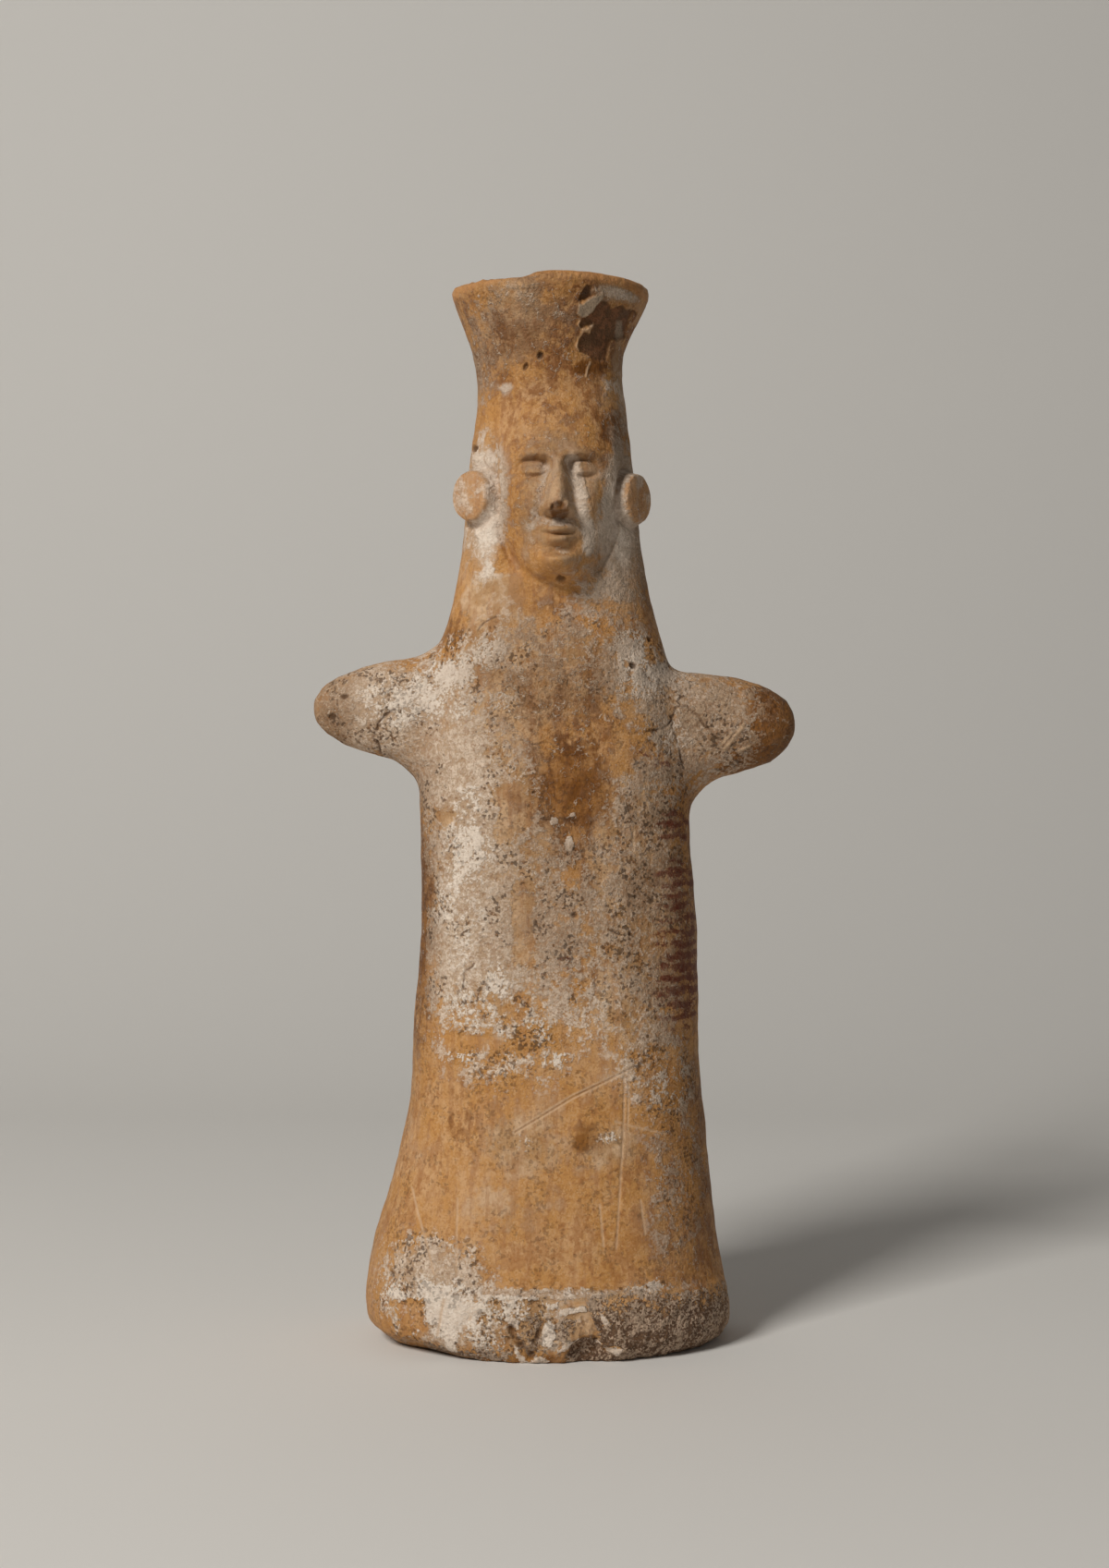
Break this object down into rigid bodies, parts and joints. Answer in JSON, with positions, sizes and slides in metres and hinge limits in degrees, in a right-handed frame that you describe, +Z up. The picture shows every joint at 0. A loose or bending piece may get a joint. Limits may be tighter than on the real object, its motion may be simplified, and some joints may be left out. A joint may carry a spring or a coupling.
{
  "type": "terracotta goddess figurine",
  "caption": "Hand-modelled terracotta goddess: flared columnar body, stub arms, small moulded face with ear discs, and a flaring hollowed polos.",
  "frame": {"origin": "middle of the flat underside, on the body's axis", "axes": "+Z up, from the foot to the polos; the figure faces -Y and its left arm points to +X"},
  "size_m": [0.1114, 0.0618, 0.2409],
  "materials": {
    "terracotta": "matt buff-orange fired clay, worn, with remains of chalky white slip, traces of dark red paint and dark burial crust"
  },
  "bodies": {
    "root": {"figurine": "terracotta"}
  },
  "joints": []
}
